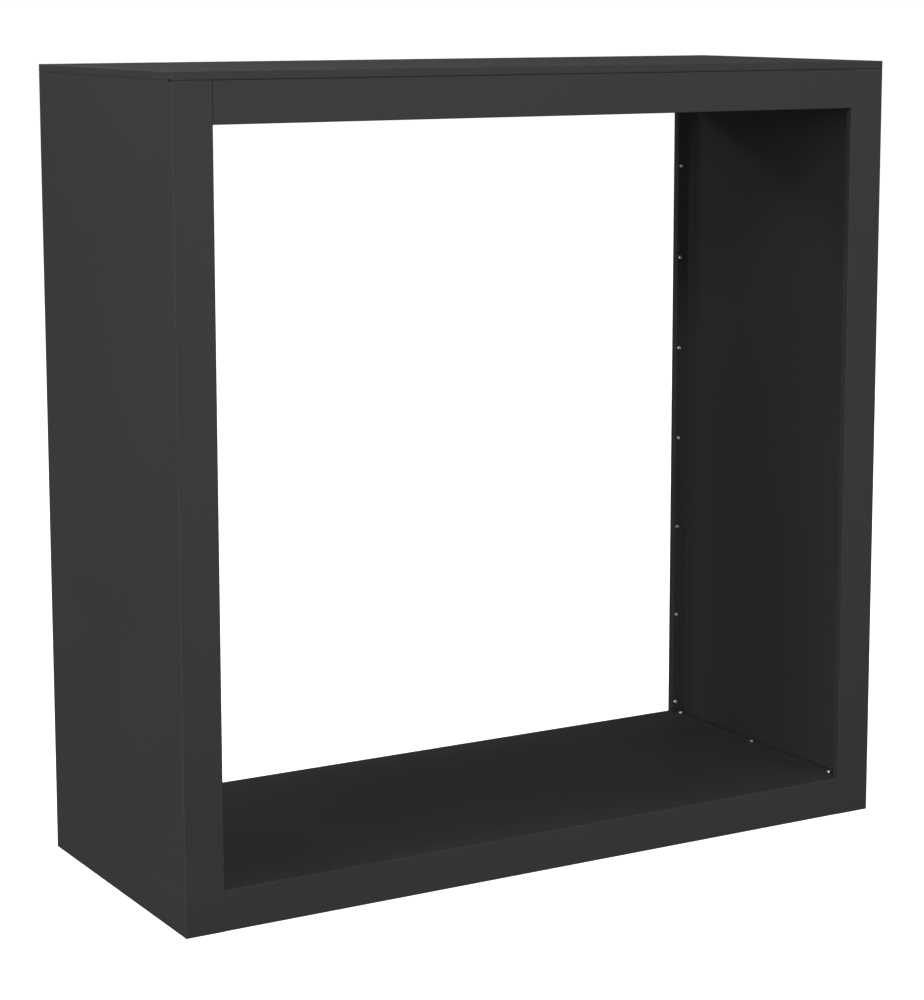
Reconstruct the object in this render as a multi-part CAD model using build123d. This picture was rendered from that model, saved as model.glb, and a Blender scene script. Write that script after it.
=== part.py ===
from build123d import *
import os

# Firewood log rack: an open-fronted, open-backed box of folded sheet steel.
# Frame: +Z up, +Y towards the rear, origin at the centre of the footprint.

# ---- driving dimensions (mm) -------------------------------------------------
WIDTH = 1000.0          # overall, left to right
DEPTH = 400.0           # overall, front to back
HEIGHT = 1000.0         # overall, ground to top face

SHEET = 1.0             # sheet thickness of every folded panel
BEND = 1.2              # outside radius of every fold
FRAME = 50.0            # face width of the stiles and of both rails
LIP = 10.0              # depth of the edge turned in around the bay opening
LINING_INSET = 18.0     # how far the inner side panel sits behind the stile edge
LID_DEPTH = 10.0        # height of the lid's skirt
LID_RETURN = 20.0       # width of the lid's turned-in bottom edge
BASE_RETURN = 15.0      # width of the tray's turned-in foot
END_TURNDOWN = 15.0     # height of the folded ends of the top tray
CORNER_CUT = 1.8        # corner relief, so that the tray's ends stay clear of the stiles' tabs
LID_EDGE = 1.1          # rounding of the lid's top and bottom edges
VENT_LENGTH = 8.0       # vent slot under the lid's front corners, on the side face
VENT_HEIGHT = 1.5       # how far it reaches into the lid, and into the side panel
MITRE_SLIT = 0.6        # width of the open mitre between two flanges

RIB_HEIGHT = 25.0       # hat-section ribs under the floor
RIB_CROWN = 28.0
RIB_BRIM = 12.0
RIB_SPLAY = 4.0         # how far each rib web leans
RIB_SPACING = 250.0

SCREW_SHANK = 3.5       # thread diameter
SCREW_LENGTH = 6.5      # under the head
SCREW_TIP = 1.5         # length of the tip
SCREW_POINT = 0.7       # radius of the tip's blunt end
HEAD_WIDTH = 6.0
HEAD_HEIGHT = 2.2
HEAD_EDGE = 0.9         # rounding of the head's rim
RECESS_ARM = 3.4        # span of the cross recess
RECESS_SLOT = 0.8
RECESS_DEPTH = 1.2
HOLE = 3.9              # clearance hole in every sheet that a screw passes
DRILL = 6.0             # length cut by a drill, centred on the screw's seat

SCREW_EDGE = 5.0        # from the bay opening's edge to the side screws
SCREW_END = 15.0        # from a lining panel's end to its first screw
SIDE_SCREWS = 8         # up each edge of a lining panel
FLOOR_SCREWS = 3        # along the bottom and the top of a lining panel
LID_SCREWS = 4          # along the front and the rear of the lid
LID_SCREW_PITCH = 250.0
LID_SCREW_INSET = 16.0  # from the front or rear face

# ---- worked out --------------------------------------------------------------
HALF_W = WIDTH / 2
HALF_D = DEPTH / 2
MID = SHEET / 2                             # from a sheet's face to its middle
FOLD = BEND - MID                           # middle radius of a fold
BODY_TOP = HEIGHT - LID_DEPTH               # top of the stiles and of the top tray
OPENING_W = HALF_W - FRAME                  # half width of the bay opening
OPENING_TOP = BODY_TOP - FRAME
LINING_FACE = OPENING_W + LINING_INSET      # bay face of an inner side panel
LINING_D = HALF_D - LIP                     # half depth of an inner side panel
LINING_TOP = BODY_TOP - SHEET
LINING_EDGE = OPENING_W + SHEET             # free edge of its flanges

SCREW_X = OPENING_W + SCREW_EDGE
SCREW_Z0 = FRAME + SCREW_END
SCREW_PITCH_Z = (BODY_TOP - FRAME - 2 * SCREW_END) / (SIDE_SCREWS - 1)
SCREW_PITCH_Y = 2 * (LINING_D - SCREW_END) / (FLOOR_SCREWS - 1)
LID_SCREW_Y = HALF_D - LID_SCREW_INSET

NORTH, SOUTH, UP, DOWN = (0, 1, 0), (0, -1, 0), (0, 0, 1), (0, 0, -1)


# ---- helpers -----------------------------------------------------------------
def folded(points, radius=FOLD):
    """Section of a folded sheet whose middle line runs through the points."""
    line = FilletPolyline(*points, radius=radius)
    return trace(line, line_width=SHEET)


def along_x(section, half_length):
    """Extrude a section drawn as (y, z) to both sides of the middle."""
    return extrude(Plane.YZ * section, amount=half_length, both=True)


def along_y(section, half_length):
    """Extrude a section drawn as (x, z) to both sides of the middle."""
    return extrude(Plane.XZ * section, amount=half_length, both=True)


def along_z(section, low, high):
    """Extrude a section drawn as (x, y) between two heights."""
    return extrude(Plane.XY.offset(low) * section, amount=high - low)


def block(x0, x1, y0, y1, z0, z1):
    centre = ((x0 + x1) / 2, (y0 + y1) / 2, (z0 + z1) / 2)
    return Pos(*centre) * Box(x1 - x0, y1 - y0, z1 - z0)


def facing(point, direction):
    """Location whose own +Z looks along the direction."""
    return Plane(origin=point, z_dir=direction).location


def drilled(body, places):
    """Open a clearance hole through every sheet that a screw passes."""
    for point, direction in places:
        body -= facing(point, direction) * Cylinder(HOLE / 2, DRILL)
    return body


def screw():
    """Pan-head screw, seated at the origin with its head along +Z."""
    head = Pos(0, 0, HEAD_HEIGHT / 2) * Cylinder(HEAD_WIDTH / 2, HEAD_HEIGHT)
    head = fillet(head.edges().sort_by(Axis.Z)[-1], HEAD_EDGE)
    for turn in (0, 90):
        arm = Box(RECESS_ARM, RECESS_SLOT, 2 * RECESS_DEPTH)
        head -= Pos(0, 0, HEAD_HEIGHT) * Rot(0, 0, turn) * arm
    straight = SCREW_LENGTH - SCREW_TIP
    shank = Pos(0, 0, -straight / 2) * Cylinder(SCREW_SHANK / 2, straight)
    tip = Pos(0, 0, -straight - SCREW_TIP / 2) * Cone(SCREW_POINT, SCREW_SHANK / 2, SCREW_TIP)
    return head + shank + tip


def screw_group(places):
    one = screw()
    return Compound(children=[facing(point, direction) * one for point, direction in places])


# ---- where the screws sit: (point on the seat, direction of the head) ---------
def side_screw_places(side, end):
    """Up the front (end -1) or the rear (end +1) edge of a lining panel."""
    seat = end * (LINING_D - SHEET)
    heights = [SCREW_Z0 + n * SCREW_PITCH_Z for n in range(SIDE_SCREWS)]
    return [((side * SCREW_X, seat, z), SOUTH if end > 0 else NORTH) for z in heights]


def tray_screw_places(side, seat, direction):
    """Along the bottom or the top edge of a lining panel."""
    start = -(FLOOR_SCREWS - 1) * SCREW_PITCH_Y / 2
    depths = [start + n * SCREW_PITCH_Y for n in range(FLOOR_SCREWS)]
    return [((side * SCREW_X, y, seat), direction) for y in depths]


def floor_screw_places(side):
    return tray_screw_places(side, FRAME + SHEET, UP)


def top_screw_places(side):
    return tray_screw_places(side, LINING_TOP - SHEET, DOWN)


def lid_screw_places(end):
    """Driven up through the top tray into the lid's turned-in edge."""
    start = -(LID_SCREWS - 1) * LID_SCREW_PITCH / 2
    widths = [start + n * LID_SCREW_PITCH for n in range(LID_SCREWS)]
    return [((x, end * LID_SCREW_Y, LINING_TOP), DOWN) for x in widths]


# ---- panels ------------------------------------------------------------------
def vent_slot(side):
    """Slot in the side face at the front, half in the lid's skirt and half in the side panel."""
    x0, x1 = sorted((side * (HALF_W - BEND), side * (HALF_W + BEND)))
    y0, y1 = -HALF_D + BEND, -HALF_D + VENT_LENGTH
    return block(x0, x1, y0, y1, BODY_TOP - VENT_HEIGHT, BODY_TOP + VENT_HEIGHT)


def bottom_tray():
    """Floor with its rails folded down at the front, the rear and both ends."""
    y, x = HALF_D - MID, HALF_W - MID
    foot, floor = MID, FRAME - MID
    rails = folded([(-y + BASE_RETURN, foot), (-y, foot), (-y, floor),
                    (y, floor), (y, foot), (y - BASE_RETURN, foot)])
    ends = folded([(-x + BASE_RETURN, foot), (-x, foot), (-x, floor),
                   (x, floor), (x, foot), (x - BASE_RETURN, foot)])
    tray = along_x(rails, OPENING_W) + along_y(ends, HALF_D - CORNER_CUT)
    return drilled(tray, floor_screw_places(-1) + floor_screw_places(1))


def top_tray():
    """Roof of the bay: both top rails with turned-in lips, and folded ends."""
    y, x = HALF_D - MID, HALF_W - SHEET - MID
    roof, lip = BODY_TOP - MID, OPENING_TOP + MID
    rails = folded([(-y + LIP, lip), (-y, lip), (-y, roof), (y, roof), (y, lip), (y - LIP, lip)])
    ends = folded([(-x, roof - END_TURNDOWN), (-x, roof), (x, roof), (x, roof - END_TURNDOWN)])
    tray = along_x(rails, OPENING_W) + along_y(ends, LINING_D)
    places = top_screw_places(-1) + top_screw_places(1) + lid_screw_places(-1) + lid_screw_places(1)
    return drilled(tray, places)


def lid():
    """Flat cover with a shallow skirt and a turned-in edge that lies on the tray."""
    shell = block(-HALF_W, HALF_W, -HALF_D, HALF_D, BODY_TOP, HEIGHT)
    hollow = block(-HALF_W + SHEET, HALF_W - SHEET, -HALF_D + SHEET, HALF_D - SHEET,
                   BODY_TOP + SHEET, HEIGHT - SHEET)
    shell = fillet(shell.edges().filter_by(Axis.Z), BEND)
    shell = fillet(shell.faces().sort_by(Axis.Z)[-1].edges(), LID_EDGE)
    shell = fillet(shell.faces().sort_by(Axis.Z)[0].edges(), LID_EDGE)
    mouth = block(-HALF_W + LID_RETURN, HALF_W - LID_RETURN, -HALF_D + LID_RETURN, HALF_D - LID_RETURN,
                  BODY_TOP - SHEET, BODY_TOP + 2 * SHEET)
    body = shell - hollow - mouth
    for sx in (-1, 1):
        for sy in (-1, 1):
            corner = Pos(sx * HALF_W, sy * HALF_D, BODY_TOP)
            slit = Box(3 * LID_RETURN, MITRE_SLIT, 2 * SHEET + MID)
            body -= corner * Rot(0, 0, 45 * sx * sy) * slit
        body -= vent_slot(sx)
    return drilled(body, lid_screw_places(-1) + lid_screw_places(1))


def side_panel(side):
    """Outer side skin, wrapped round the front and the rear as the two stiles."""
    x, y = HALF_W - MID, HALF_D - MID
    edge, back, inner = OPENING_W + MID, LINING_D + MID, LINING_FACE
    full = folded([(side * inner, -back), (side * edge, -back), (side * edge, -y), (side * x, -y),
                   (side * x, y), (side * edge, y), (side * edge, back), (side * inner, back)])
    flat = OPENING_W + BEND
    collar = folded([(side * flat, -y), (side * x, -y), (side * x, y), (side * flat, y)])
    panel = along_z(full, FRAME, LINING_TOP) + along_z(collar, FRAME, BODY_TOP)
    for end in (-1, 1):
        tab = folded([(side * OPENING_W, end * y), (side * x, end * y), (side * x, end * (y - BEND))])
        panel += along_z(tab, 0, FRAME)
    panel -= vent_slot(side)
    return drilled(panel, side_screw_places(side, -1) + side_screw_places(side, 1))


def inner_panel(side):
    """Lining of the bay's side: a shallow pan with its four flanges towards the bay."""
    back, front = LINING_FACE + SHEET, LINING_EDGE
    x0, x1 = sorted((side * back, side * front))
    pan = block(x0, x1, -LINING_D, LINING_D, FRAME, LINING_TOP)
    folds = pan.faces().sort_by(Axis.X)[0 if side < 0 else -1].edges()
    pan = fillet(folds, BEND)
    x0, x1 = sorted((side * LINING_FACE, side * (front - BEND)))
    bay = block(x0, x1, -LINING_D + SHEET, LINING_D - SHEET, FRAME + SHEET, LINING_TOP - SHEET)
    folds = bay.faces().sort_by(Axis.X)[0 if side < 0 else -1].edges()
    pan -= fillet(folds, BEND - SHEET)
    for y in (-LINING_D, LINING_D):
        for z in (FRAME, LINING_TOP):
            notch = block(*sorted((side * (front - SHEET), side * (back - BEND))),
                          y - MITRE_SLIT, y + MITRE_SLIT, z - MITRE_SLIT, z + MITRE_SLIT)
            pan -= notch
    places = side_screw_places(side, -1) + side_screw_places(side, 1)
    places += floor_screw_places(side) + top_screw_places(side)
    return drilled(pan, places)


def floor_rib(x):
    """Hat-section stiffener welded under the floor, running front to back."""
    top, crown = FRAME - SHEET - MID, FRAME - SHEET - RIB_HEIGHT + MID
    half, foot = RIB_CROWN / 2, RIB_CROWN / 2 + RIB_SPLAY
    section = folded([(x - foot - RIB_BRIM, top), (x - foot, top), (x - half, crown),
                      (x + half, crown), (x + foot, top), (x + foot + RIB_BRIM, top)])
    return along_y(section, HALF_D - SHEET - BEND)


# ---- assembly ----------------------------------------------------------------
def all_parts():
    parts = {
        "bottom_tray": bottom_tray(),
        "top_tray": top_tray(),
        "lid": lid(),
        "lid_front_screws": screw_group(lid_screw_places(-1)),
        "lid_rear_screws": screw_group(lid_screw_places(1)),
    }
    for name, x in (("left", -RIB_SPACING), ("middle", 0.0), ("right", RIB_SPACING)):
        parts[f"floor_rib_{name}"] = floor_rib(x)
    for name, side in (("left", -1), ("right", 1)):
        parts[f"{name}_side_panel"] = side_panel(side)
        parts[f"{name}_inner_panel"] = inner_panel(side)
        parts[f"{name}_front_screws"] = screw_group(side_screw_places(side, -1))
        parts[f"{name}_rear_screws"] = screw_group(side_screw_places(side, 1))
        parts[f"{name}_floor_screws"] = screw_group(floor_screw_places(side))
        parts[f"{name}_top_screws"] = screw_group(top_screw_places(side))
    return parts


os.makedirs("parts", exist_ok=True)
for node, shape in all_parts().items():
    export_step(shape, f"parts/{node}.step")
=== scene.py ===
import math

import bmesh
import bpy
from mathutils import Matrix, Vector


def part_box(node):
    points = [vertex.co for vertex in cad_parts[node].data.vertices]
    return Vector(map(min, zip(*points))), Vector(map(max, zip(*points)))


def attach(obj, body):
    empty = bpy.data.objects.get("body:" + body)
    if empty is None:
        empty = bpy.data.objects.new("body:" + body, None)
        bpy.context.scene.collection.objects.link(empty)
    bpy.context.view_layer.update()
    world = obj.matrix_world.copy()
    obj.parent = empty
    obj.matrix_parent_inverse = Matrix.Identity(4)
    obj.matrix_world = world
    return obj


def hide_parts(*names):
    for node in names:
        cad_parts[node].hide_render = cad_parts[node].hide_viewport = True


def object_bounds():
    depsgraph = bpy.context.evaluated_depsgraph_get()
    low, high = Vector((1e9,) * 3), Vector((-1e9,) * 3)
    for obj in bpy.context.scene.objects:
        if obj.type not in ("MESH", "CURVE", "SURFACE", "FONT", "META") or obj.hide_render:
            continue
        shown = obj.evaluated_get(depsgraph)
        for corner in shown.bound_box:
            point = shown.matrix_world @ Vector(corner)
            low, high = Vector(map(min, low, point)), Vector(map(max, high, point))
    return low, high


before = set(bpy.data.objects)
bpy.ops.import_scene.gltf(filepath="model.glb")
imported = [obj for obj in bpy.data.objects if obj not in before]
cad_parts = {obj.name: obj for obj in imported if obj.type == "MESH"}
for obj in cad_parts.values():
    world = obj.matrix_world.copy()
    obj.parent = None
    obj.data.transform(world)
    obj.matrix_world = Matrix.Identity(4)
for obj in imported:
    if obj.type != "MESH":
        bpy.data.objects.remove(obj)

# Firewood log rack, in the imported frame: metres, +Z up, +Y to the rear, origin under the footprint's middle.
# Every panel is built as the middle surface of a folded sheet, which is then given its thickness.
CAD_LOW, CAD_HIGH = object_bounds()
MM = 0.001

# ---- tolerances ----------------------------------------------------------------
NEAR = 0.2 * MM             # for comparing places
SNAP = 0.01 * MM            # corners that agree to this are one corner
MARK_DIGITS = 7             # marks that agree to this many digits of a metre are one mark
ROUNDING = 1e-6             # share of a cell that doesn't call for one more cell

# ---- sheet metal ---------------------------------------------------------------
SHEET = 1.0 * MM            # thickness of every panel
MID = SHEET / 2             # from a sheet's face to its middle
BEND = 1.2 * MM             # outside radius of a fold
FOLD = BEND - MID           # middle radius of a fold
FOLD_STEPS = 6              # facets round one fold
SPACING = 28.0 * MM         # widest cell on a flat run
FACET_SHARE = 0.75          # of the turn of one facet, past which a corner is inside a fold
LEAST_SPREAD = 0.5          # keeps a corner with a sharp angle from moving far when its edges are eased
EASE = 0.2 * MM             # how much the powder coat rounds a cut edge
TIGHT_EASE = 0.04 * MM      # the same round a screw hole, and where a rail meets a stile
HOLE_RADIUS = 1.95 * MM     # clearance hole for a screw
HOLE_CELL = 3.0 * MM        # half of the cell that a hole is cut in
HOLE_SIDES = 16             # a multiple of 4
FIRST_SPOKE = -0.75 * math.pi  # the way from a hole's middle to its cell's first corner
SEAT_REACH = 2 * SHEET      # a screw is seated no further than this from the sheet that it passes through
TUCK = 0.05 * MM            # how far a rail's end reaches in behind the round edge of a stile
MITRE_SLIT = 0.6 * MM       # open mitre between two flanges
TRAY_RELIEF = 1.8 * MM      # from the tray's end flange to the front and rear faces
TAB_END = 1.75 * MM         # from the front and rear faces to the end of a side panel's bottom tab
FOOT_RETURN = 15.0 * MM     # turned-in feet of the bottom tray
ROOF_TURNDOWN = 15.0 * MM   # folded ends of the top tray
VENT_LENGTH = 8.0 * MM      # from the front face to the rear end of the slot in a side face
VENT_HEIGHT = 1.5 * MM      # height of the slot's halves, one in the lid's skirt and one in the side panel
VENT_WEB = 0.8 * MM         # sheet left between a corner's fold and the slot
LID_FOLD = 0.55 * MM        # middle radius of the lid's top and bottom edges
LID_RETURN = 20.0 * MM      # turned-in bottom edge of the lid
LID_SPLIT = 6.0 * MM        # from the lid's sides to a line of corners along its turned-in edge
SLACK = 0.25 * MM           # how far a large panel is drawn in at its middle
SLACK_SWAY = 0.3            # share by which that varies over the panel
SWAY_TURNS = (2.1, 3.7)     # how fast it varies along the panel's two sides
SWAY_START = 1.0            # radians, at the middle of the first side
RIB_CROWN = 28.0 * MM       # flat bottom of a rib's hat section
RIB_SPLAY = 4.0 * MM        # how far each web leans
WELD_OUTSET = 1.0 * MM      # from the middle of a brim to its welds, away from the web
WELD_CELL = 3.5 * MM        # half of the cell that a spot weld is pressed in
WELD_RADIUS = 2.8 * MM
WELD_DENT = 0.15 * MM
WELD_RINGS = (0.8, 0.3)     # shares of a weld's radius that are pressed in
WELD_END = 22.0 * MM        # from a rib's end to its first weld
WELD_SPACING = 60.0 * MM

# ---- screws --------------------------------------------------------------------
HEAD_RADIUS = 3.0 * MM
HEAD_HEIGHT = 2.2 * MM
HEAD_DOME = 0.3 * MM        # how much lower a head's top would be at its full radius than at its middle
HEAD_RIM = 0.9 * MM         # width of the round between a head's top and its side
HEAD_SHOULDER = 0.75 * MM   # height at which that round ends
RIM_STEPS = 5
UNDER_EASE = 0.15 * MM      # chamfer under the head
NECK = 0.25 * MM            # how far outside the thread's crests the flat under the head ends
THREAD_START = 0.2 * MM     # below the head
THREAD_RISE = 0.8 * MM      # over which the thread grows to its full height
THREAD_STEPS = 52           # rings from the start of the thread to the tip
THREAD_SHARP = 3            # power of the cosine that shapes the thread, whose crests it narrows
SHANK_LENGTH = 6.5 * MM
TIP_LENGTH = 1.5 * MM
THREAD_PITCH = 1.25 * MM
CREST_RADIUS = 1.75 * MM
ROOT_RADIUS = 1.25 * MM
ROOT_FILLET = 0.1 * MM      # how much thicker the core is where it leaves the head
TIP_RADIUS = 0.3 * MM
CROSS_REACH = 1.7 * MM      # from the middle of the recess to the end of an arm
CROSS_HALF = 0.42 * MM      # half the width of an arm
CROSS_DEPTH = 1.2 * MM
CROSS_FLOOR = ((0.45, 1.0), (0.8, 0.8))  # shares of its outline and of its depth, from the middle out
CROSS_EDGE = 0.05 * MM      # width of its broken edge
CROSS_DROP = 0.06 * MM      # how far the edge's inner side lies below the dome
EIGHTH_STEPS = 4            # angles in an eighth of a turn, past the corner of the recess
TURN_STEP = 2.4             # radians between the recesses of neighbouring screws

# ---- finishes ------------------------------------------------------------------
# Each noise is given by its features in a metre and its detail.
NOISE_RANGE = (0.3, 0.7)    # holds most of a noise's values
COAT_CLOUD = (4.0, 3.0)     # slow change of tone and gloss over a panel
COAT_PEEL = (620.0, 1.5)    # orange peel
COAT_GRAIN = (2300.0, 1.0)  # pigment
COAT_DARK, COAT_LIGHT = (0.0383, 0.0350, 0.0366), (0.0413, 0.0380, 0.0396)
COAT_FLECK, COAT_WORN = (0.050, 0.048, 0.049), (0.075, 0.073, 0.074)
FLECK_SHARE = 0.35          # how much of the flecks' colour shows at the most
FLECK_RANGE = (0.35, 0.8)   # of the grain's values
WORN_SHARE = 0.04           # how much of the worn colour shows on edges and folds
COAT_ROUGH = 0.5
CLOUD_ROUGH = 0.025         # change of roughness each way, over a panel
PEEL_ROUGH = 0.03           # and from one spot to the next
WORN_ROUGH = 0.2            # more on edges and folds
COAT_SPECULAR = 0.22
PEEL_HEIGHT = 0.008 * MM
GRAIN_HEIGHT = 0.002 * MM
ZINC_BLOTCH = (900.0, 3.0)
ZINC_SCRATCH = (1500.0, 2.0)
SCRATCH_STRETCH = (1, 1, 9)
ZINC_DULL, ZINC_BRIGHT = (0.78, 0.79, 0.81), (0.92, 0.92, 0.90)
BLOTCH_ROUGH = (0.0, 0.1)   # added to the roughness of the scratches
SCRATCH_ROUGH = (0.2, 0.3)
SCRATCH_HEIGHT = 0.01 * MM

# ---- studio and camera ---------------------------------------------------------
STUDIO_REACH = 9.0          # from the middle of the rack to each softbox
STUDIO_MIDDLE = Vector((0, 0, 0.55))
FLOOR_HALF = 300.0          # half of the floor's side, far enough for its edge not to show
FLOOR_GREY = 0.8
AMBIENT = 0.06              # strength of the world for everything but the camera
CAMERA_PLACE = (-1.720, -2.947, 1.082)
CAMERA_DOWN = 8.55          # degrees below the horizon
CAMERA_TURN = 30.49         # degrees to the right of straight ahead
CAMERA_SHIFT = (-0.0191, -0.1)
CAMERA_SENSOR = 36.0        # millimetres
CAMERA_FOCUS = 2.6831       # focal length, in widths of the sensor
CAMERA_FAR = 1000.0

# ---- places, from the frame ----------------------------------------------------
HALF_W, HALF_D, TOP = CAD_HIGH
OPENING_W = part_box("right_side_panel")[0].x
BODY_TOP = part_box("lid")[0].z
FLOOR_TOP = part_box("bottom_tray")[1].z
RAIL_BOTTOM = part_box("top_tray")[0].z
TRAY_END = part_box("top_tray")[1].x
RAIL_END = OPENING_W + TUCK
LINING_LOW, LINING_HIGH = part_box("right_inner_panel")
SIDES = {"left": -1, "right": 1}

# Each group of screws: how many, the axis that its row runs along, and the way its heads face.
X, Y, Z = Vector((1, 0, 0)), Vector((0, 1, 0)), Vector((0, 0, 1))
SCREW_ROWS = {"lid_front_screws": (4, 0, -Z), "lid_rear_screws": (4, 0, -Z)}
for side_name in SIDES:
    SCREW_ROWS[f"{side_name}_front_screws"] = (8, 2, Y)
    SCREW_ROWS[f"{side_name}_rear_screws"] = (8, 2, -Y)
    SCREW_ROWS[f"{side_name}_floor_screws"] = (3, 1, Z)
    SCREW_ROWS[f"{side_name}_top_screws"] = (3, 1, -Z)


def screw_seats(node):
    """Where each head of a group sits, and the way it faces."""
    count, row, facing = SCREW_ROWS[node]
    low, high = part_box(node)
    seat = (low + high) / 2
    for axis in range(3):
        if facing[axis]:
            face = high if facing[axis] > 0 else low
            seat[axis] = face[axis] - facing[axis] * HEAD_HEIGHT
    first, last = low[row] + HEAD_RADIUS, high[row] - HEAD_RADIUS
    seats = []
    for n in range(count):
        seat[row] = first + (last - first) * n / (count - 1)
        seats.append(seat.copy())
    return seats, facing


def seats_of(*nodes):
    return [seat for node in nodes for seat in screw_seats(node)[0]]


# ---- the middle surface of a folded sheet ----------------------------------------
def spaced(start, end, step=SPACING):
    """Even positions from start to end, no further apart than step."""
    count = max(1, math.ceil(abs(end - start) / step - ROUNDING))
    return [start + (end - start) * n / count for n in range(count + 1)]


def stations(start, end, marks):
    """Positions along a straight run, with one at every mark that lies inside it."""
    inside = sorted({round(m, MARK_DIGITS) for m in marks if start + NEAR < m < end - NEAR})
    stops = [start, *inside, end]
    found = [start]
    for a, b in zip(stops, stops[1:]):
        found += spaced(a, b)[1:]
    return found


def around(centres, half=HOLE_CELL):
    """Marks on both sides of each centre, which leave a cell for a hole."""
    return [c + shift for c in centres for shift in (-half, half)]


def folded_line(corners, marks=((), ()), radius=FOLD):
    """Points along a folded sheet's middle line, and the run that each span belongs to.

    marks holds the marks along each of the line's two axes. A span in a fold has the run None.
    """
    corners = [Vector(c) for c in corners]
    points, runs = [corners[0]], []
    for n, (a, b) in enumerate(zip(corners, corners[1:])):
        along = (b - a).normalized()
        start, trim = points[-1], 0.0
        if n < len(corners) - 2:
            ahead = (corners[n + 2] - b).normalized()
            angle = along.angle(ahead)
            trim = radius * math.tan(angle / 2)
        axis = 0 if abs(along.x) > abs(along.y) else 1
        length = (b - start).length - trim
        places = [(m - start[axis]) / along[axis] for m in marks[axis]]
        points += [start + along * at for at in stations(0, length, places)[1:]]
        runs += [n] * (len(points) - 1 - len(runs))
        if trim:
            side = (ahead - along * ahead.dot(along)).normalized()
            tangent = points[-1]
            for step in range(1, FOLD_STEPS + 1):
                turn = angle * step / FOLD_STEPS
                points.append(tangent + radius * (math.sin(turn) * along + (1 - math.cos(turn)) * side))
                runs.append(None)
    return points, runs


class Surface:
    """A middle surface of cells, which share a corner wherever two positions agree."""

    def __init__(self, holes=()):
        self.mesh = bmesh.new()
        self.ease = self.mesh.verts.layers.float.new("ease")
        self.dent = self.mesh.verts.layers.float.new("dent")
        self.known = {}
        self.holes = list(holes)

    def vertex(self, point, ease=EASE, dent=0.0):
        key = tuple(round(c / SNAP) for c in point)
        if key not in self.known:
            made = self.mesh.verts.new(point)
            made[self.ease] = ease
            made[self.dent] = dent
            self.known[key] = made
        return self.known[key]

    def face(self, corners):
        corners = list(dict.fromkeys(corners))
        if len(corners) > 2:
            self.mesh.faces.new(corners)

    def cell(self, *points):
        """One four-cornered cell, drilled where a screw passes through it."""
        corners = [self.vertex(p) for p in points]
        hole = next((h for h in self.holes if passes(h, points)), None)
        if hole is None:
            self.face(corners)
        else:
            self.rings(corners, hole, [(HOLE_RADIUS, 0.0)])

    def rings(self, corners, centre, rings, closed=False):
        """Fills a flat cell round its centre with rings of (radius, dent), open in the middle or closed."""
        origin = corners[0].co
        across = (corners[1].co - origin).normalized()
        upward = (corners[3].co - origin).normalized()
        middle = origin + across * (centre - origin).dot(across) + upward * (centre - origin).dot(upward)
        circles = []
        for radius, dent in rings:
            circle = []
            for n in range(HOLE_SIDES):
                turn = 2 * math.pi * n / HOLE_SIDES + FIRST_SPOKE
                reach = across * math.cos(turn) + upward * math.sin(turn)
                circle.append(self.vertex(middle + radius * reach, TIGHT_EASE, dent))
            circles.append(circle)
        quarter = HOLE_SIDES // 4
        outer = circles[0]
        for n in range(4):
            arc = [outer[(n * quarter + k) % HOLE_SIDES] for k in range(quarter + 1)]
            self.face([corners[n], corners[(n + 1) % 4], *reversed(arc)])
        for a, b in zip(circles, circles[1:]):
            for n in range(HOLE_SIDES):
                m = (n + 1) % HOLE_SIDES
                self.face([a[n], a[m], b[m], b[n]])
        if closed:
            self.face(circles[-1])


def passes(hole, points):
    """True if a screw hole lies in a cell, and the cell is square to an axis."""
    fits = 0
    for axis in range(3):
        low, high = min(p[axis] for p in points), max(p[axis] for p in points)
        if high - low < NEAR:
            if abs(hole[axis] - low) > SEAT_REACH:
                return False
        elif low < hole[axis] - HOLE_RADIUS and hole[axis] + HOLE_RADIUS < high:
            fits += 1
        else:
            return False
    return fits == 2


def inward(vertex):
    """The way from a vertex on the surface's edge into the surface, long enough to move both edges by 1."""
    ways = []
    for edge in vertex.link_edges:
        if edge.is_boundary:
            loop = edge.link_loops[0]
            along = loop.link_loop_next.vert.co - loop.vert.co
            ways.append(loop.face.normal.cross(along).normalized())
    if len(ways) != 2:
        return sum(ways, Vector())
    return (ways[0] + ways[1]) / max(LEAST_SPREAD, 1 + ways[0].dot(ways[1]))


def bent(vertex):
    """True inside a fold, where the faces round a vertex turn by a whole facet."""
    normals = [f.normal for f in vertex.link_faces]
    return any(a.angle(normals[0], 0) > FACET_SHARE * math.pi / 2 / FOLD_STEPS for a in normals)


def thickened(surface):
    """The solid sheet on both sides of a middle surface, with every cut edge eased.

    The corner attribute "wear" is 1 on the cut edges and in the folds, and 0 on flat runs.
    """
    flat = surface.mesh
    flat.normal_update()
    solid = bmesh.new()
    wear = solid.loops.layers.float.new("wear")
    front, back, upper, lower, folds = {}, {}, {}, {}, {}
    for v in flat.verts:
        ease = v[surface.ease]
        shift = inward(v) * ease
        front[v] = solid.verts.new(v.co + shift + v.normal * (MID - v[surface.dent]))
        back[v] = solid.verts.new(v.co + shift - v.normal * MID)
        folds[v] = float(bent(v))
        if v.is_boundary:
            upper[v] = solid.verts.new(v.co + v.normal * (MID - ease))
            lower[v] = solid.verts.new(v.co - v.normal * (MID - ease))
    for f in flat.faces:
        for skin, order in ((front, list(f.verts)), (back, list(reversed(f.verts)))):
            made = solid.faces.new([skin[v] for v in order])
            for loop, v in zip(made.loops, order):
                loop[wear] = folds[v]
    for e in flat.edges:
        if e.is_boundary:
            loop = e.link_loops[0]
            a, b = loop.vert, loop.link_loop_next.vert
            bands = [front, upper, lower, back]
            for one, two in zip(bands, bands[1:]):
                made = solid.faces.new([one[b], one[a], two[a], two[b]])
                for corner in made.loops:
                    corner[wear] = 1.0
    flat.free()
    return solid


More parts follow.
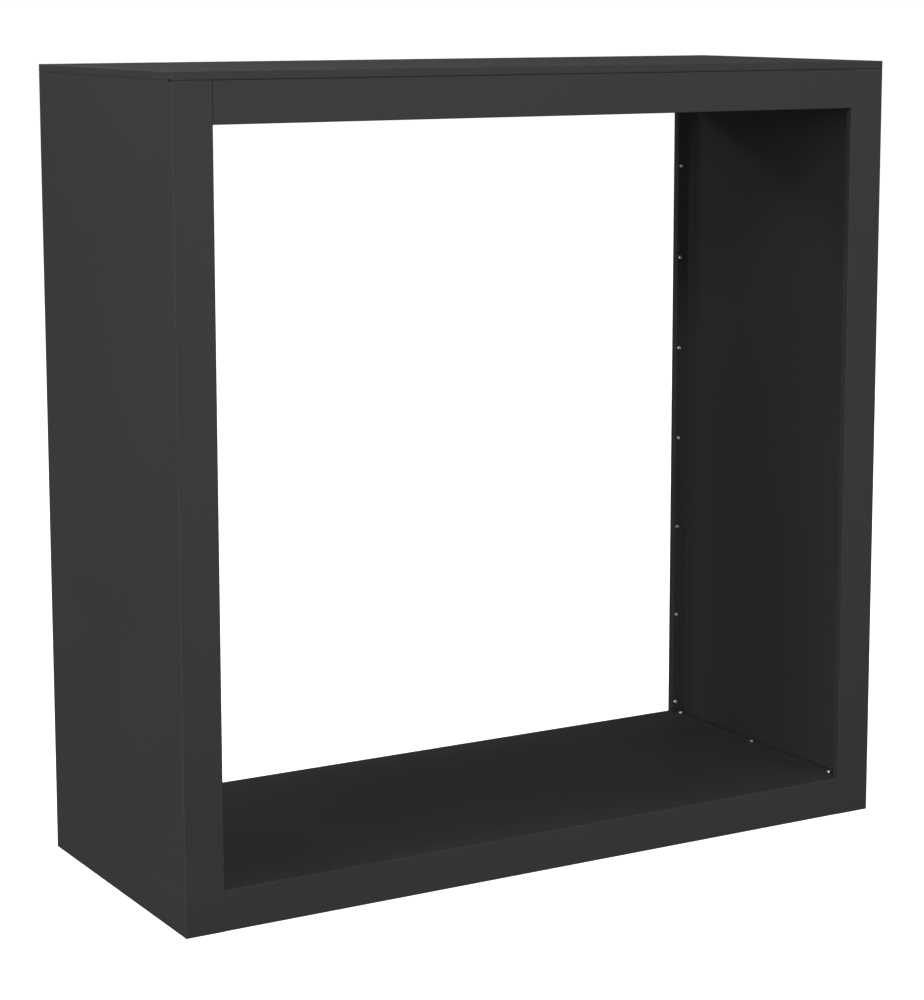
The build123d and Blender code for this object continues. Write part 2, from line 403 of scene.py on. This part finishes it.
def piece(name, solid, material, slot, *nodes):
    """Makes a mesh piece that rides on the frame and stands for these CAD nodes."""
    mesh = bpy.data.meshes.new(name)
    for f in solid.faces:
        f.smooth = True
    solid.to_mesh(mesh)
    solid.free()
    made = bpy.data.objects.new(name, mesh)
    bpy.context.scene.collection.objects.link(made)
    mesh.materials.append(material)
    normals = made.modifiers.new("weighted_normals", "WEIGHTED_NORMAL")
    normals.mode = "FACE_AREA"
    normals.weight = 50
    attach(made, "root")
    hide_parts(*nodes)
    return made


def drawn_in(a, b):
    """How far a large panel gives at a place, from -1 to 1 along both of its sides: nothing at its edges."""
    middle = (1 - a * a) * (1 - b * b)
    sway = SLACK_SWAY * math.sin(SWAY_TURNS[0] * a + SWAY_START) * math.cos(SWAY_TURNS[1] * b)
    return SLACK * middle * (1 + sway)


def pull(surface, chosen, move):
    """Moves the vertices of a middle surface that are chosen."""
    for v in surface.mesh.verts:
        if chosen(v.co):
            v.co += move(v.co)


# ---- panels --------------------------------------------------------------------
def crossed(surface, line_a, line_b, place, kept):
    """A sheet folded along two directions. kept(run_a, a, run_b, b) says whether a cell is there."""
    (points_a, runs_a), (points_b, runs_b) = line_a, line_b
    for a0, a1, run_a in zip(points_a, points_a[1:], runs_a):
        for b0, b1, run_b in zip(points_b, points_b[1:], runs_b):
            if kept(run_a, (a0 + a1) / 2, run_b, (b0 + b1) / 2):
                surface.cell(place(a0, b0), place(a1, b0), place(a1, b1), place(a0, b1))


def tray(line_x, line_y, base_run_x, base_run_y, end_depth, holes):
    """A level sheet with its front and rear turned down between the stiles, and its ends turned down too."""
    surface = Surface(holes)

    def place(a, b):
        return Vector((a.x, b.x, min(a.y, b.y)))

    def kept(run_x, a, run_y, b):
        between_stiles = run_x == base_run_x and abs(a.x) < RAIL_END
        end = run_y == base_run_y and abs(b.x) < end_depth
        return between_stiles or end

    crossed(surface, line_x, line_y, place, kept)
    for v in surface.mesh.verts:
        if abs(abs(v.co.x) - RAIL_END) < TIGHT_EASE / 2:
            v[surface.ease] = TIGHT_EASE
    return thickened(surface)


def bottom_tray():
    x, y, floor, foot = HALF_W - MID, HALF_D - MID, FLOOR_TOP - MID, MID
    seats = seats_of("left_floor_screws", "right_floor_screws")
    end_depth = HALF_D - TRAY_RELIEF
    marks_x = around({s.x for s in seats}) + [-RAIL_END, RAIL_END]
    marks_y = around({s.y for s in seats}) + [-end_depth, end_depth]
    line_x = folded_line([(-x + FOOT_RETURN, foot), (-x, foot), (-x, floor),
                          (x, floor), (x, foot), (x - FOOT_RETURN, foot)], (marks_x, ()))
    line_y = folded_line([(-y + FOOT_RETURN, foot), (-y, foot), (-y, floor),
                          (y, floor), (y, foot), (y - FOOT_RETURN, foot)], (marks_y, ()))
    return tray(line_x, line_y, 2, 2, end_depth, seats)


def top_tray():
    x, y, roof, lip = TRAY_END - MID, HALF_D - MID, BODY_TOP - MID, RAIL_BOTTOM + MID
    seats = seats_of("left_top_screws", "right_top_screws", "lid_front_screws", "lid_rear_screws")
    end_depth = LINING_HIGH.y
    lip_depth = HALF_D - LINING_HIGH.y
    marks_x = around({s.x for s in seats}) + [-RAIL_END, RAIL_END]
    marks_y = around({s.y for s in seats}) + [-end_depth, end_depth]
    tip = roof - ROOF_TURNDOWN
    line_x = folded_line([(-x, tip), (-x, roof), (x, roof), (x, tip)], (marks_x, ()))
    line_y = folded_line([(-y + lip_depth, lip), (-y, lip), (-y, roof),
                          (y, roof), (y, lip), (y - lip_depth, lip)], (marks_y, ()))
    return tray(line_x, line_y, 1, 2, end_depth, seats)


def vent_reach():
    """Where the vent slot in a side face starts and ends along y."""
    return BEND + VENT_WEB - HALF_D, VENT_LENGTH - HALF_D


def side_panel(side_name):
    """The outer side skin, wrapped round the front and the rear as the two stiles."""
    side = SIDES[side_name]
    seats = seats_of(f"{side_name}_front_screws", f"{side_name}_rear_screws")
    x, y = HALF_W - MID, HALF_D - MID
    edge, back, inner = OPENING_W + MID, LINING_HIGH.y + MID, LINING_HIGH.x - SHEET
    tab_y = HALF_D - TAB_END
    vent = vent_reach()
    vent_z = BODY_TOP - VENT_HEIGHT
    marks = ([abs(seats[0].x) + HOLE_CELL], [-tab_y, *vent, tab_y])
    points, runs = folded_line([(inner, -back), (edge, -back), (edge, -y), (x, -y),
                                (x, y), (edge, y), (edge, back), (inner, back)], marks)
    stiles, skin = (2, 4), 3
    flat = OPENING_W + BEND
    levels = stations(0.0, BODY_TOP, around({s.z for s in seats}) + [FLOOR_TOP, vent_z, LINING_HIGH.z])
    surface = Surface(seats)

    def kept(run, middle, z):
        corner = middle.x > HALF_W - BEND
        if z < FLOOR_TOP:
            return run in stiles or corner and abs(middle.y) > tab_y
        if z > vent_z and run == skin and vent[0] < middle.y < vent[1]:
            return False
        return z < LINING_HIGH.z or run in stiles or corner

    def upright(a, b, low, high):
        surface.cell(*(Vector((side * p.x, p.y, z)) for p, z in ((a, low), (b, low), (b, high), (a, high))))

    for low, high in zip(levels, levels[1:]):
        for a, b, run in zip(points, points[1:], runs):
            if kept(run, (a + b) / 2, (low + high) / 2):
                upright(a, b, low, high)
        if high <= FLOOR_TOP + NEAR:
            upright(Vector((OPENING_W, -y)), Vector((flat, -y)), low, high)
            upright(Vector((flat, y)), Vector((OPENING_W, y)), low, high)

    middle, half = (FLOOR_TOP + BODY_TOP) / 2, (BODY_TOP - FLOOR_TOP) / 2
    pull(surface,
         lambda p: abs(p.x) > x - NEAR and abs(p.y) < HALF_D - BEND and p.z > FLOOR_TOP,
         lambda p: -side * X * drawn_in(p.y / (HALF_D - BEND), (p.z - middle) / half))
    return thickened(surface)


def inner_panel(side_name):
    """Lining of the bay's side: a shallow pan with its four flanges towards the bay."""
    side = SIDES[side_name]
    seats = seats_of(*(f"{side_name}_{row}_screws" for row in ("front", "rear", "floor", "top")))
    y, low, high = LINING_HIGH.y - MID, LINING_LOW.z + MID, LINING_HIGH.z - MID
    base, lip = LINING_HIGH.x - MID, LINING_LOW.x
    mark = abs(seats[0].x) + HOLE_CELL
    rows_y = {s.y for s in seats if abs(s.y) < y - HOLE_CELL}
    rows_z = {s.z for s in seats if low + HOLE_CELL < s.z < high - HOLE_CELL}
    # each line runs along the panel in its first axis, and its second axis is x, towards the side skin
    line_y = folded_line([(-y, lip), (-y, base), (y, base), (y, lip)], (around(rows_y), [mark]))
    line_z = folded_line([(low, lip), (low, base), (high, base), (high, lip)], (around(rows_z), [mark]))
    surface = Surface(seats)

    def place(a, b):
        return Vector((side * min(a.y, b.y), a.x, b.x))

    crossed(surface, line_y, line_z, place, lambda run_y, a, run_z, b: run_y == 1 or run_z == 1)

    # past the folds the upright flanges reach the panel's ends, and the level ones stop against them
    flange = [p.y for p, run in zip(line_y[0], line_y[1]) if run == 0]
    flange.append(base - FOLD)
    gap = MITRE_SLIT / 2
    for z, end in ((low, -1), (high, 1)):
        for depth in (-y, y):
            for near, far in zip(flange, flange[1:]):
                fold_z, tip_z = z - end * FOLD, z + end * (MID - gap)
                surface.cell(Vector((side * near, depth, fold_z)), Vector((side * far, depth, fold_z)),
                             Vector((side * far, depth, tip_z)), Vector((side * near, depth, tip_z)))
                rear = math.copysign(1, depth)
                fold_y, tip_y = depth - rear * FOLD, depth - rear * (MID + gap)
                surface.cell(Vector((side * near, fold_y, z)), Vector((side * far, fold_y, z)),
                             Vector((side * far, tip_y, z)), Vector((side * near, tip_y, z)))
    bmesh.ops.recalc_face_normals(surface.mesh, faces=surface.mesh.faces)

    middle, half = (low + high) / 2, (high - low) / 2 - FOLD
    pull(surface,
         lambda p: abs(p.x) > base - NEAR,
         lambda p: side * X * drawn_in(p.y / (y - FOLD), (p.z - middle) / half))
    return thickened(surface)


def lid():
    """Flat cover with a shallow skirt, rounded corners and a turned-in edge that lies on the tray."""
    seats = seats_of("lid_front_screws", "lid_rear_screws")
    x, y = HALF_W - BEND, HALF_D - BEND
    vent = vent_reach()
    across = stations(-x, x, around({s.x for s in seats}))
    deep = stations(-y, y, vent)
    surface = Surface(seats)
    for x0, x1 in zip(across, across[1:]):
        for y0, y1 in zip(deep, deep[1:]):
            surface.cell(*(Vector((a, b, TOP - MID)) for a, b in ((x0, y0), (x1, y0), (x1, y1), (x0, y1))))

    # the skirt's section, as (distance in from the box's sides, height), from the top down and in again
    bottom = BODY_TOP + MID
    section = [(BEND, TOP - MID)]
    for step in range(FOLD_STEPS + 1):
        turn = math.pi / 2 * step / FOLD_STEPS
        section.append((MID + LID_FOLD * (1 - math.sin(turn)), TOP - MID - LID_FOLD * (1 - math.cos(turn))))
    section.append((MID, BODY_TOP + VENT_HEIGHT))
    for step in range(FOLD_STEPS + 1):
        turn = math.pi / 2 * step / FOLD_STEPS
        section.append((MID + LID_FOLD * (1 - math.cos(turn)), bottom + LID_FOLD * (1 - math.sin(turn))))
    inset = HALF_D - abs(seats[0].y)
    edge = (BEND, LID_SPLIT, inset - HOLE_CELL, inset + HOLE_CELL, LID_RETURN)
    section += [(into, bottom) for into in edge]

    # once round the edge: the point on the flat top's outline, and the way out of it
    corners = [(x, -y, -90), (x, y, 0), (-x, y, 90), (-x, -y, 180)]
    runs = [[(b, -y) for b in across], [(x, b) for b in deep],
            [(b, y) for b in reversed(across)], [(-x, b) for b in reversed(deep)]]
    outline = []
    for run, (corner_x, corner_y, start) in zip(runs, corners):
        out = Vector((math.cos(math.radians(start)), math.sin(math.radians(start))))
        outline += [(Vector(p), out) for p in run]
        for step in range(1, FOLD_STEPS):
            turn = math.radians(start + 90 * step / FOLD_STEPS)
            outline.append((Vector((corner_x, corner_y)), Vector((math.cos(turn), math.sin(turn)))))

    slit = MITRE_SLIT * math.sqrt(0.5)   # half of the slit, along one of the lid's sides

    def rim(at, level):
        (point, out), (into, z) = at, level
        flat = point + out * (BEND - into)
        if into > BEND:
            reach_x = HALF_W - into - slit
            reach_y = HALF_D - into - slit
            if abs(out.y) > 0.5:
                flat.x = max(-reach_x, min(reach_x, flat.x))
            else:
                flat.y = max(-reach_y, min(reach_y, flat.y))
        return Vector((flat.x, flat.y, z))

    for one, two in zip(outline, outline[1:] + outline[:1]):
        at_corner = (one[0] - two[0]).length < NEAR
        beside = abs(one[0].x) > x - NEAR and abs(two[0].x) > x - NEAR
        vented = beside and not at_corner and vent[0] < (one[0].y + two[0].y) / 2 < vent[1]
        for high, low in zip(section, section[1:]):
            turned_in = low[0] > BEND
            under = high[1] < BODY_TOP + VENT_HEIGHT + NEAR
            if at_corner and turned_in or vented and under and not turned_in:
                continue
            surface.cell(rim(one, low), rim(two, low), rim(two, high), rim(one, high))

    pull(surface,
         lambda p: p.z > TOP - MID - NEAR / 4 and abs(p.x) < x and abs(p.y) < y,
         lambda p: -Z * drawn_in(p.x / x, p.y / y))
    return thickened(surface)


def floor_rib(name):
    """Hat-section stiffener, spot-welded under the floor through its two brims."""
    low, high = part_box(name)
    middle = (low.x + high.x) / 2
    top, crown = high.z - MID, low.z + MID
    brim, half = high.x - middle, RIB_CROWN / 2
    foot = half + RIB_SPLAY
    weld_x = (foot + brim) / 2 + WELD_OUTSET
    marks = [middle + side * (weld_x + shift) for side in (-1, 1) for shift in (-WELD_CELL, WELD_CELL)]
    section = [(middle - brim, top), (middle - foot, top), (middle - half, crown),
               (middle + half, crown), (middle + foot, top), (middle + brim, top)]
    points, runs = folded_line(section, (marks, ()))
    welds_y = spaced(low.y + WELD_END, high.y - WELD_END, WELD_SPACING)
    depths = stations(low.y, high.y, around(welds_y, WELD_CELL))
    surface = Surface()
    for y0, y1 in zip(depths, depths[1:]):
        y_middle = (y0 + y1) / 2
        for a, b, run in zip(points, points[1:], runs):
            corners = [Vector((p.x, y, p.y)) for p, y in ((b, y0), (a, y0), (a, y1), (b, y1))]
            centre = sum(corners, Vector()) / 4
            on_weld = any(abs(y_middle - w) < WELD_CELL / 2 for w in welds_y)
            if on_weld and abs(abs(centre.x - middle) - weld_x) < WELD_CELL / 2:
                rings = [(WELD_RADIUS, 0.0)] + [(share * WELD_RADIUS, WELD_DENT) for share in WELD_RINGS]
                surface.rings([surface.vertex(c) for c in corners], centre, rings, closed=True)
            else:
                surface.cell(*corners)
    return thickened(surface)


# ---- screws --------------------------------------------------------------------
def cross_reach(turn):
    """From the middle of the head to the outline of the cross recess, at an angle round it."""
    along, across = abs(math.cos(turn)), abs(math.sin(turn))
    along, across = max(along, across), min(along, across)
    end = CROSS_REACH / along
    return end if across * end <= CROSS_HALF else min(end, CROSS_HALF / across)


def head_turns():
    """Angles round a head, with one at every corner of the cross recess."""
    corner = math.atan2(CROSS_HALF, CROSS_REACH)
    wide = math.pi / 4 - corner
    eighth = [0.0, corner] + [corner + wide * n / EIGHTH_STEPS for n in range(1, EIGHTH_STEPS + 1)]
    quarter = eighth + [math.pi / 2 - turn for turn in reversed(eighth[1:-1])]
    return [turn + quadrant * math.pi / 2 for quadrant in range(4) for turn in quarter]


def dome(radius):
    """Height of a pan head's top at a distance from its middle."""
    return HEAD_HEIGHT - HEAD_DOME * (radius / HEAD_RADIUS) ** 2


def screw_rings():
    """The angles round a screw, and its rings from the recess out over the head and down to the tip.

    Each ring is a list of (radius, height), one for every angle.
    """
    turns = head_turns()
    rings = []
    for share, depth in CROSS_FLOOR:
        rings.append([(share * cross_reach(t), HEAD_HEIGHT - depth * CROSS_DEPTH) for t in turns])
    for grow in (0.0, CROSS_EDGE):
        edge = [cross_reach(t) + grow for t in turns]
        rings.append([(r, dome(r) - (CROSS_DROP - grow)) for r in edge])
    flat = HEAD_RADIUS - HEAD_RIM
    for share in (0.5, 1.0):
        blend = [(1 - share) * (cross_reach(t) + CROSS_EDGE) + share * flat for t in turns]
        rings.append([(r, dome(r)) for r in blend])
    for step in range(1, RIM_STEPS + 1):
        turn = math.pi / 2 * step / RIM_STEPS
        height = HEAD_SHOULDER + (dome(flat) - HEAD_SHOULDER) * math.cos(turn)
        rings.append([(flat + HEAD_RIM * math.sin(turn), height)] * len(turns))
    underside = ((HEAD_RADIUS, UNDER_EASE), (HEAD_RADIUS - UNDER_EASE, 0.0),
                 (CREST_RADIUS + NECK, 0.0), (ROOT_RADIUS + ROOT_FILLET, -THREAD_START))
    for radius, height in underside:
        rings.append([(radius, height)] * len(turns))
    for step in range(1, THREAD_STEPS + 1):
        depth = THREAD_START + (SHANK_LENGTH - THREAD_START) * step / THREAD_STEPS
        taper = min(1.0, (SHANK_LENGTH - depth) / TIP_LENGTH)
        root = TIP_RADIUS + (ROOT_RADIUS - TIP_RADIUS) * taper
        crest = (CREST_RADIUS - ROOT_RADIUS) * min(taper, (depth - THREAD_START) / THREAD_RISE, 1.0)
        ring = []
        for turn in turns:
            phase = 2 * math.pi * depth / THREAD_PITCH - turn
            ring.append((root + crest * (0.5 + 0.5 * math.cos(phase)) ** THREAD_SHARP, -depth))
        rings.append(ring)
    return turns, rings


def screws(node):
    """A group of pan-head screws with cross recesses and rolled threads."""
    turns, rings = screw_rings()
    seats, facing = screw_seats(node)
    upright = facing.to_track_quat("Z", "Y").to_matrix().to_4x4()
    solid = bmesh.new()
    for n, seat in enumerate(seats):
        spot = Matrix.Translation(seat) @ upright @ Matrix.Rotation(TURN_STEP * n, 4, "Z")
        loops = []
        for ring in rings:
            places = [(r * math.cos(t), r * math.sin(t), z) for t, (r, z) in zip(turns, ring)]
            loops.append([solid.verts.new(spot @ Vector(p)) for p in places])
        solid.faces.new(loops[0])
        solid.faces.new(reversed(loops[-1]))
        count = len(turns)
        for inner, outer in zip(loops, loops[1:]):
            for k in range(count):
                m = (k + 1) % count
                solid.faces.new([inner[k], outer[k], outer[m], inner[m]])
    return solid


# ---- materials -----------------------------------------------------------------
# A Mix node names its sockets alike for every kind of data. These are the ones for colours.
MIX_FACTOR, MIX_A, MIX_B, MIX_RESULT = 0, 6, 7, 2


class Nodes:
    """Short calls for a material's nodes."""

    def __init__(self, name):
        self.material = bpy.data.materials.new(name)
        self.material.use_nodes = True
        self.tree = self.material.node_tree
        self.shader = self.tree.nodes["Principled BSDF"]
        self.place = self.add("ShaderNodeTexCoord").outputs["Object"]

    def add(self, kind, **settings):
        node = self.tree.nodes.new(kind)
        for name, value in settings.items():
            setattr(node, name, value)
        return node

    def link(self, source, target):
        self.tree.links.new(source, target)

    def noise(self, features, stretch=(1, 1, 1)):
        """Noise from 0 to 1. features holds their number in a metre and their detail."""
        scale, detail = features
        mapping = self.add("ShaderNodeMapping")
        mapping.inputs["Scale"].default_value = stretch
        noise = self.add("ShaderNodeTexNoise")
        noise.inputs["Scale"].default_value = scale
        noise.inputs["Detail"].default_value = detail
        self.link(self.place, mapping.inputs["Vector"])
        self.link(mapping.outputs["Vector"], noise.inputs["Vector"])
        return noise.outputs["Fac"]

    def attribute(self, name):
        return self.add("ShaderNodeAttribute", attribute_name=name).outputs["Fac"]

    def maths(self, operation, a, b):
        node = self.add("ShaderNodeMath", operation=operation)
        for socket, value in zip(node.inputs, (a, b)):
            if isinstance(value, (int, float)):
                socket.default_value = value
            else:
                self.link(value, socket)
        return node.outputs[0]

    def spread(self, value, low, high, span=NOISE_RANGE):
        """Takes the values in span onto those from low to high."""
        node = self.add("ShaderNodeMapRange")
        node.inputs["From Min"].default_value, node.inputs["From Max"].default_value = span
        node.inputs["To Min"].default_value, node.inputs["To Max"].default_value = low, high
        self.link(value, node.inputs["Value"])
        return node.outputs["Result"]

    def mix(self, factor, a, b):
        """Colour a where factor is 0, and b where it is 1."""
        node = self.add("ShaderNodeMix", data_type="RGBA")
        self.link(factor, node.inputs[MIX_FACTOR])
        for socket, value in ((node.inputs[MIX_A], a), (node.inputs[MIX_B], b)):
            if isinstance(value, tuple):
                socket.default_value = (*value, 1.0)
            else:
                self.link(value, socket)
        return node.outputs[MIX_RESULT]

    def bump(self, height, distance, normal=None):
        """Turns a height from 0 to 1 into bumps of this many metres, on top of those in normal."""
        node = self.add("ShaderNodeBump")
        node.inputs["Strength"].default_value = 1.0
        node.inputs["Distance"].default_value = distance
        self.link(height, node.inputs["Height"])
        if normal is not None:
            self.link(normal, node.inputs["Normal"])
        return node.outputs["Normal"]


def powder_coat():
    """Satin anthracite powder coat with orange peel and fine pigment, duller and paler on edges and folds."""
    n = Nodes("powder_coat_satin")
    wear = n.attribute("wear")
    cloud, peel, grain = n.noise(COAT_CLOUD), n.noise(COAT_PEEL), n.noise(COAT_GRAIN)
    tone = n.mix(n.spread(cloud, 0.0, 1.0), COAT_DARK, COAT_LIGHT)
    fleck = n.mix(n.spread(grain, 0.0, FLECK_SHARE, FLECK_RANGE), tone, COAT_FLECK)
    worn = n.mix(n.maths("MULTIPLY", wear, WORN_SHARE), fleck, COAT_WORN)
    n.link(worn, n.shader.inputs["Base Color"])
    cloud_rough = n.spread(cloud, -CLOUD_ROUGH, CLOUD_ROUGH)
    peel_rough = n.spread(peel, COAT_ROUGH - PEEL_ROUGH, COAT_ROUGH + PEEL_ROUGH)
    rough = n.maths("ADD", cloud_rough, peel_rough)
    rough = n.maths("ADD", rough, n.maths("MULTIPLY", wear, WORN_ROUGH))
    n.link(rough, n.shader.inputs["Roughness"])
    n.shader.inputs["Specular IOR Level"].default_value = COAT_SPECULAR
    peel_bump = n.bump(peel, PEEL_HEIGHT)
    n.link(n.bump(grain, GRAIN_HEIGHT, peel_bump), n.shader.inputs["Normal"])
    return n.material


def zinc():
    """Bright zinc plate: slightly blotched, with fine scratches from the screwdriver and the box."""
    n = Nodes("zinc_plate")
    blotch, scratch = n.noise(ZINC_BLOTCH), n.noise(ZINC_SCRATCH, SCRATCH_STRETCH)
    n.link(n.mix(n.spread(blotch, 0.0, 1.0), ZINC_DULL, ZINC_BRIGHT), n.shader.inputs["Base Color"])
    rough = n.maths("ADD", n.spread(blotch, *BLOTCH_ROUGH), n.spread(scratch, *SCRATCH_ROUGH))
    n.link(rough, n.shader.inputs["Roughness"])
    n.shader.inputs["Metallic"].default_value = 1.0
    n.link(n.bump(scratch, SCRATCH_HEIGHT), n.shader.inputs["Normal"])
    return n.material


# ---- the pieces ------------------------------------------------------------------
coat, plate = powder_coat(), zinc()


def panel(node, solid):
    piece(f"{node}_folded", solid, coat, "powder_coat", node)


panel("bottom_tray", bottom_tray())
panel("top_tray", top_tray())
panel("lid", lid())
for side_name in SIDES:
    panel(f"{side_name}_side_panel", side_panel(side_name))
    panel(f"{side_name}_inner_panel", inner_panel(side_name))
for place_name in ("left", "middle", "right"):
    rib = f"floor_rib_{place_name}"
    panel(rib, floor_rib(rib))
for node in SCREW_ROWS:
    piece(f"{node}_threaded", screws(node), plate, "zinc", node)


# ---- studio --------------------------------------------------------------------
def softbox(name, azimuth, elevation, size, power, reach=STUDIO_REACH):
    """A rectangular light aimed at the rack. Azimuth 0 is in front, -90 on the left, 180 behind."""
    data = bpy.data.lights.new(name, "AREA")
    data.shape = "RECTANGLE"
    data.size, data.size_y = size
    data.energy = power
    light = bpy.data.objects.new(name, data)
    bpy.context.scene.collection.objects.link(light)
    turn, rise = math.radians(azimuth), math.radians(elevation)
    way = Vector((math.cos(rise) * math.sin(turn), -math.cos(rise) * math.cos(turn), math.sin(rise)))
    light.location = STUDIO_MIDDLE + reach * way
    light.rotation_euler = way.to_track_quat("Z", "Y").to_euler()


softbox("front_key", -12, 37, (2.2, 1.6), 181)
softbox("front_low", 8, -8, (2.4, 0.6), 11, reach=2.6)
softbox("right_front", 25, 12, (4.0, 2.0), 171)
softbox("left_low", -50, -4, (2.4, 0.8), 16, reach=4.0)
softbox("left_front_low", -60, 6, (3.0, 1.5), 118)
softbox("left_front", -75, 12, (3.0, 2.0), 104)
softbox("left_side", -90, 10, (3.0, 3.0), 190)
softbox("left_high", -90, 35, (2.0, 2.0), 198)
softbox("left_rear", -150, 25, (2.2, 1.6), 90)
softbox("rear", 180, 35, (0.7, 2.0), 84)
softbox("right_side", 90, 10, (3.0, 3.0), 240)
softbox("overhead", 0, 90, (1.6, 0.8), 11.8, reach=1.85)


def studio_floor():
    """A plain white floor that neither lights nor tints the object, and is clear from below."""
    mesh = bpy.data.meshes.new("studio_floor")
    corners = [(FLOOR_HALF * x, FLOOR_HALF * y, 0) for x, y in ((-1, -1), (1, -1), (1, 1), (-1, 1))]
    mesh.from_pydata(corners, [], [(0, 1, 2, 3)])
    floor = bpy.data.objects.new("studio_floor", mesh)
    bpy.context.scene.collection.objects.link(floor)
    n = Nodes("studio_floor")
    n.shader.inputs["Base Color"].default_value = (FLOOR_GREY, FLOOR_GREY, FLOOR_GREY, 1)
    n.shader.inputs["Roughness"].default_value = 1.0
    n.shader.inputs["Specular IOR Level"].default_value = 0.0
    n.shader.inputs["Emission Color"].default_value = (1, 1, 1, 1)
    n.shader.inputs["Emission Strength"].default_value = 1.0
    clear = n.add("ShaderNodeBsdfTransparent")
    both = n.add("ShaderNodeMixShader")
    n.link(n.add("ShaderNodeNewGeometry").outputs["Backfacing"], both.inputs[0])
    n.link(n.shader.outputs[0], both.inputs[1])
    n.link(clear.outputs[0], both.inputs[2])
    n.link(both.outputs[0], n.tree.nodes["Material Output"].inputs["Surface"])
    mesh.materials.append(n.material)
    floor.visible_glossy = False
    floor.visible_diffuse = False


def studio_world():
    """White to the camera, and a low even light to everything else."""
    world = bpy.data.worlds.new("studio")
    world.use_nodes = True
    tree = world.node_tree
    background = tree.nodes["Background"]
    background.inputs["Color"].default_value = (1, 1, 1, 1)
    path = tree.nodes.new("ShaderNodeLightPath")
    strength = tree.nodes.new("ShaderNodeMapRange")
    strength.inputs["To Min"].default_value = AMBIENT
    strength.inputs["To Max"].default_value = 1.0
    tree.links.new(path.outputs["Is Camera Ray"], strength.inputs["Value"])
    tree.links.new(strength.outputs["Result"], background.inputs["Strength"])
    bpy.context.scene.world = world


def camera():
    """At the photograph's angle. The small shift centres the rack with the camera looking slightly down."""
    data = bpy.data.cameras.new("camera")
    data.sensor_width = CAMERA_SENSOR
    data.lens = CAMERA_SENSOR * CAMERA_FOCUS
    data.shift_x, data.shift_y = CAMERA_SHIFT
    data.clip_end = CAMERA_FAR
    made = bpy.data.objects.new("camera", data)
    bpy.context.scene.collection.objects.link(made)
    made.location = CAMERA_PLACE
    made.rotation_euler = (math.radians(90 - CAMERA_DOWN), 0, -math.radians(CAMERA_TURN))
    bpy.context.scene.camera = made


studio_floor()
studio_world()
camera()
bpy.context.scene.view_settings.view_transform = "Standard"
